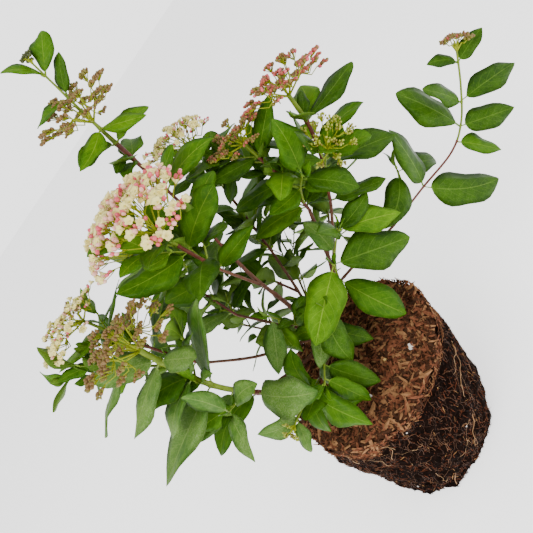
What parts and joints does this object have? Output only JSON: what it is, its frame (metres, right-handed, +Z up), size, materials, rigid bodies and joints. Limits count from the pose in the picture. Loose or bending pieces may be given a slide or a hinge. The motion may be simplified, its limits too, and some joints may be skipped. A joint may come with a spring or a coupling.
{
  "type": "laurustinus shrub on its bare root ball",
  "caption": "Young laurustinus shrub with leafy shoots and flower heads, standing on a bare pot-shaped root ball with bark mulch.",
  "frame": {"origin": "middle of the root ball's flat underside", "axes": "+Z up, -Y towards the picture's viewer, +X along the long low shoot"},
  "size_m": [0.484, 0.26, 0.5238],
  "materials": {
    "soil": "damp peat and bark potting mix held by roots",
    "mulch": "shredded red-brown bark",
    "bark": "thin brown bark, reddish on young boughs",
    "foliage": "half-gloss evergreen leaves"
  },
  "bodies": {
    "root": {"root_ball": "soil", "bark_mulch": "mulch", "trunk": "bark", "bough_leader": "bark", "bough_centre_left": "bark", "bough_front_left": "bark", "bough_mid_left": "bark", "bough_back_left": "bark", "bough_back": "bark", "bough_right": "bark", "bough_far_right": "bark", "bough_low_right": "bark", "foliage_leader": "foliage", "foliage_centre_left": "foliage", "foliage_front_left": "foliage", "foliage_back_left": "foliage", "foliage_mid_left": "foliage", "foliage_back": "foliage", "foliage_right": "foliage", "foliage_far_right": "foliage", "foliage_low_right": "foliage", "foliage_base_right": "foliage", "foliage_base_front": "foliage", "foliage_base_left": "foliage", "foliage_low_back_left": "foliage", "foliage_low_back_right": "foliage", "foliage_back_middle": "foliage", "foliage_right_back": "foliage"}
  },
  "joints": []
}
